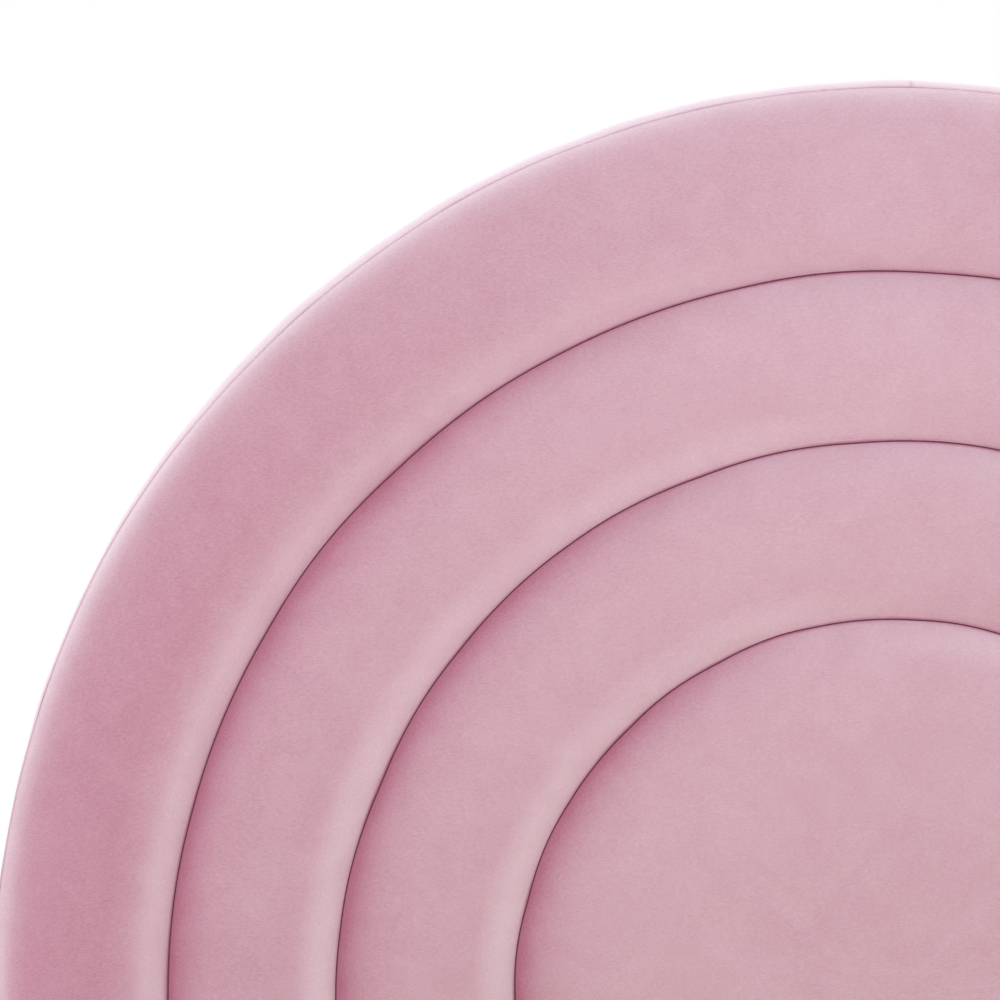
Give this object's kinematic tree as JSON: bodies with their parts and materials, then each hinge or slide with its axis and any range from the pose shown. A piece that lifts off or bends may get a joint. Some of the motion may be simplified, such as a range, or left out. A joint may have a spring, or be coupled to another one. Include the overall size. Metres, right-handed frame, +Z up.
{
  "type": "upholstered headboard bed",
  "caption": "Queen bed frame with an arched headboard of nested padded velvet channels, upholstered side and foot rails, and a slatted base.",
  "frame": {"origin": "on the floor, at the middle of the bed's bounding box", "axes": "+Z up; +Y from the foot to the headboard, so the padded face looks along -Y; +X to the right as seen from the foot"},
  "size_m": [1.62, 2.1896, 1.33],
  "materials": {
    "velvet": "matte",
    "foam": "matte",
    "pine": "matte",
    "plywood": "matte",
    "stained_wood": "satin",
    "dust_cloth": "matte",
    "webbing": "matte",
    "black_steel": "satin",
    "zinc": "satin",
    "black_plastic": "matte"
  },
  "bodies": {
    "bed": {"beam_foot_hanger": "black_steel", "beam_head_hanger": "black_steel", "centre_beam": "pine", "centre_foot_leg": "pine", "centre_head_leg": "pine", "centre_panel_cover": "velvet", "centre_panel_foam": "foam", "foot_left_bolt_pair": "zinc", "foot_left_bracket": "black_steel", "foot_rail_board": "pine", "foot_rail_cover": "velvet", "foot_right_bolt_pair": "zinc", "foot_right_bracket": "black_steel", "head_left_bolt_pair": "zinc", "head_left_bracket": "black_steel", "head_right_bolt_pair": "zinc", "head_right_bracket": "black_steel", "headboard_arch_rib": "plywood", "headboard_centre_stud": "pine", "headboard_dust_cover": "dust_cloth", "headboard_edge_band": "velvet", "headboard_face_panel": "plywood", "headboard_left_glide": "black_plastic", "headboard_left_post": "pine", "headboard_lower_cover": "velvet", "headboard_lower_crossrail": "pine", "headboard_right_glide": "black_plastic", "headboard_right_post": "pine", "headboard_upper_crossrail": "pine", "left_foot_leg": "stained_wood", "left_rail_board": "pine", "left_rail_cover": "velvet", "left_slat_ledge": "pine", "left_slat_webbing": "webbing", "outer_arch_cover": "velvet", "outer_arch_foam": "foam", "right_foot_leg": "stained_wood", "right_rail_board": "pine", "right_rail_cover": "velvet", "right_slat_ledge": "pine", "right_slat_webbing": "webbing", "second_arch_cover": "velvet", "second_arch_foam": "foam", "slat_01": "pine", "slat_02": "pine", "slat_03": "pine", "slat_04": "pine", "slat_05": "pine", "slat_06": "pine", "slat_07": "pine", "slat_08": "pine", "slat_09": "pine", "slat_10": "pine", "slat_11": "pine", "slat_12": "pine", "third_arch_cover": "velvet", "third_arch_foam": "foam"},
    "head_levelling_foot": {"centre_head_levelling_foot": "black_plastic"},
    "foot_levelling_foot": {"centre_foot_levelling_foot": "black_plastic"}
  },
  "joints": [
    {"name": "head_foot_screw", "type": "slide", "parent": "bed", "child": "head_levelling_foot", "axis": [0, 0, 1], "range_m": [0, 0.012]},
    {"name": "foot_foot_screw", "type": "slide", "parent": "bed", "child": "foot_levelling_foot", "axis": [0, 0, 1], "range_m": [0, 0.012]}
  ]
}
